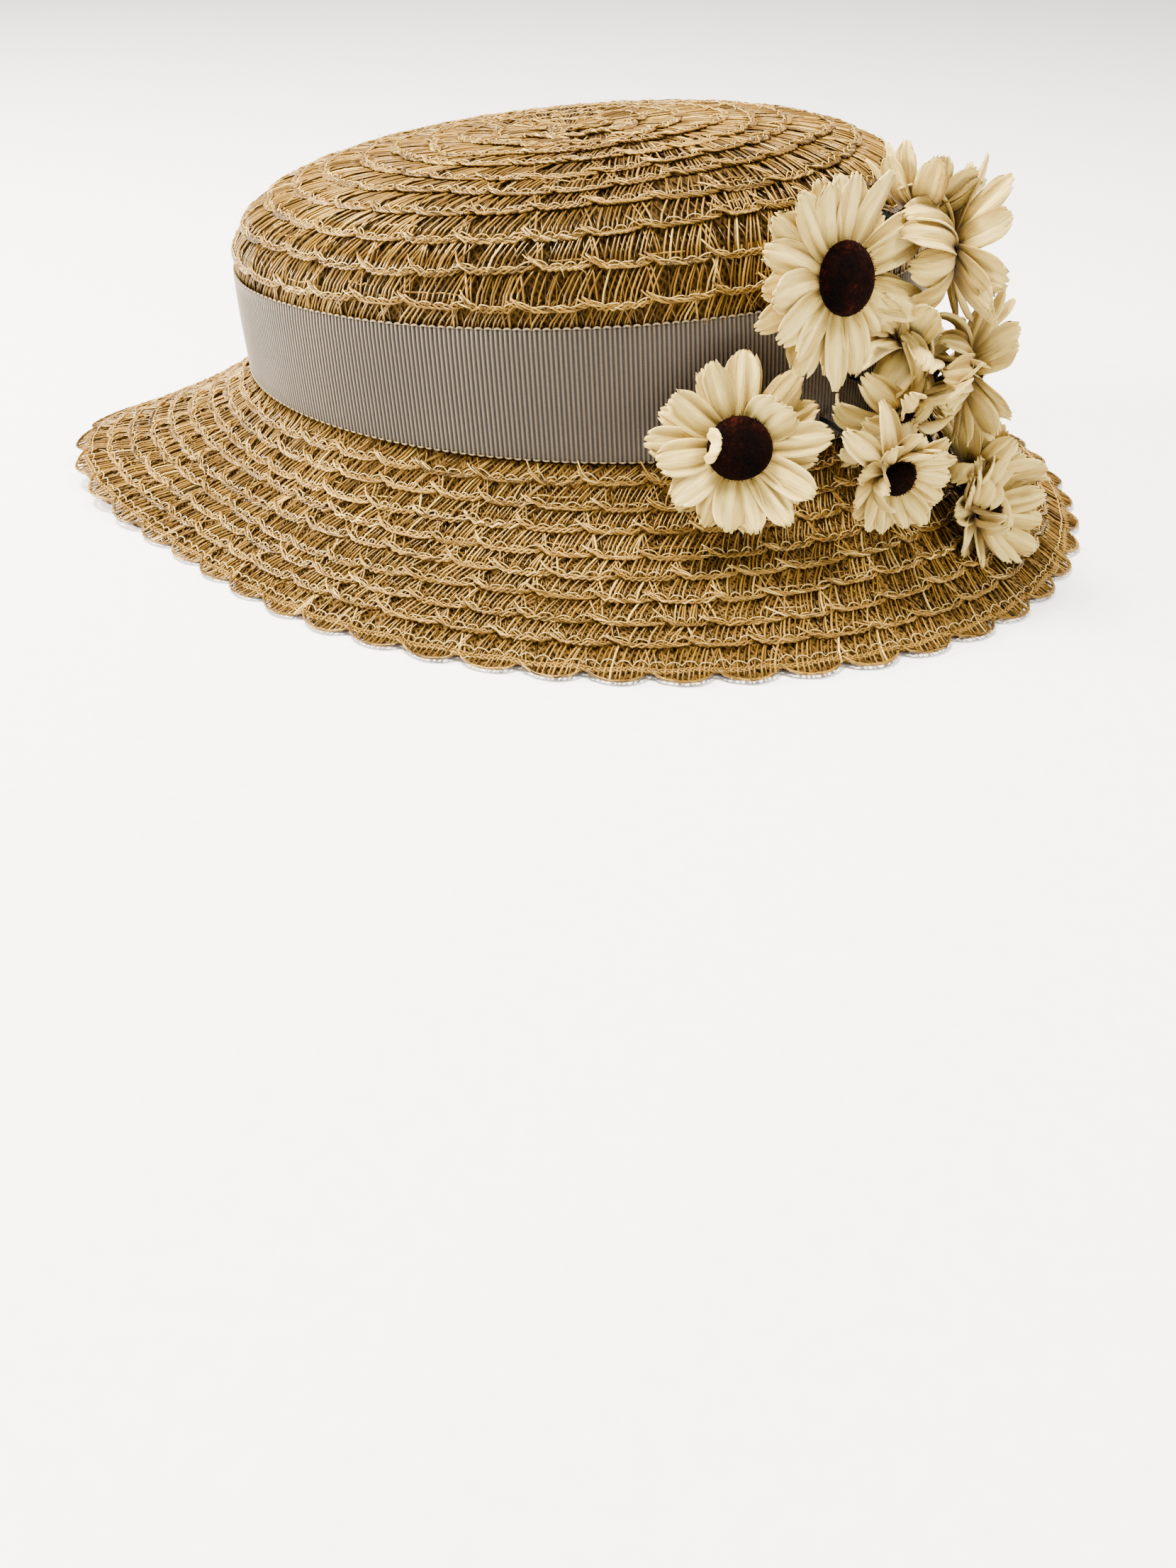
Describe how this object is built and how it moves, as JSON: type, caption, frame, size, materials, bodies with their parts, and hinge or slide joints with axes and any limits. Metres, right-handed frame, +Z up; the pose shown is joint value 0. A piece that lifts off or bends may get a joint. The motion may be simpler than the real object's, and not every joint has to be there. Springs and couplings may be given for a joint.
{
  "type": "straw boater hat",
  "caption": "Straw hat of sewn scalloped braid with a low oval crown, a drooping brim, a grosgrain ribbon band and a spray of cloth daisies at the front right.",
  "frame": {"origin": "on the surface that the hat stands on, under the middle of the bounding box of its rim", "axes": "+X to the front of the hat, +Y to its left side, +Z up"},
  "size_m": [0.2924, 0.2484, 0.1061],
  "materials": {
    "crown_straw": "natural golden straw braid, sewn in rows, satin strands",
    "brim_straw": "natural golden straw braid, sewn in rows, scalloped rim",
    "band_ribbon": "taupe grosgrain ribbon, ribbed, soft sheen",
    "petal_cloth": "cream plain-weave cotton, stiffened and pressed",
    "centre_velvet": "dark brown velvet pile",
    "stem_wire": "dark green cloth-covered wire"
  },
  "bodies": {
    "root": {"crown": "crown_straw", "brim": "brim_straw", "hat_band": "band_ribbon", "daisy_01_petals": "petal_cloth", "daisy_01_centre": "centre_velvet", "daisy_01_stem": "stem_wire", "daisy_02_petals": "petal_cloth", "daisy_02_centre": "centre_velvet", "daisy_02_stem": "stem_wire", "daisy_03_petals": "petal_cloth", "daisy_03_centre": "centre_velvet", "daisy_03_stem": "stem_wire", "daisy_04_petals": "petal_cloth", "daisy_04_centre": "centre_velvet", "daisy_04_stem": "stem_wire", "daisy_05_petals": "petal_cloth", "daisy_05_centre": "centre_velvet", "daisy_05_stem": "stem_wire", "daisy_06_petals": "petal_cloth", "daisy_06_centre": "centre_velvet", "daisy_06_stem": "stem_wire", "daisy_07_petals": "petal_cloth", "daisy_07_centre": "centre_velvet", "daisy_07_stem": "stem_wire", "daisy_08_petals": "petal_cloth", "daisy_08_centre": "centre_velvet", "daisy_08_stem": "stem_wire", "daisy_09_petals": "petal_cloth", "daisy_09_centre": "centre_velvet", "daisy_09_stem": "stem_wire", "daisy_10_petals": "petal_cloth", "daisy_10_centre": "centre_velvet", "daisy_10_stem": "stem_wire"}
  },
  "joints": []
}
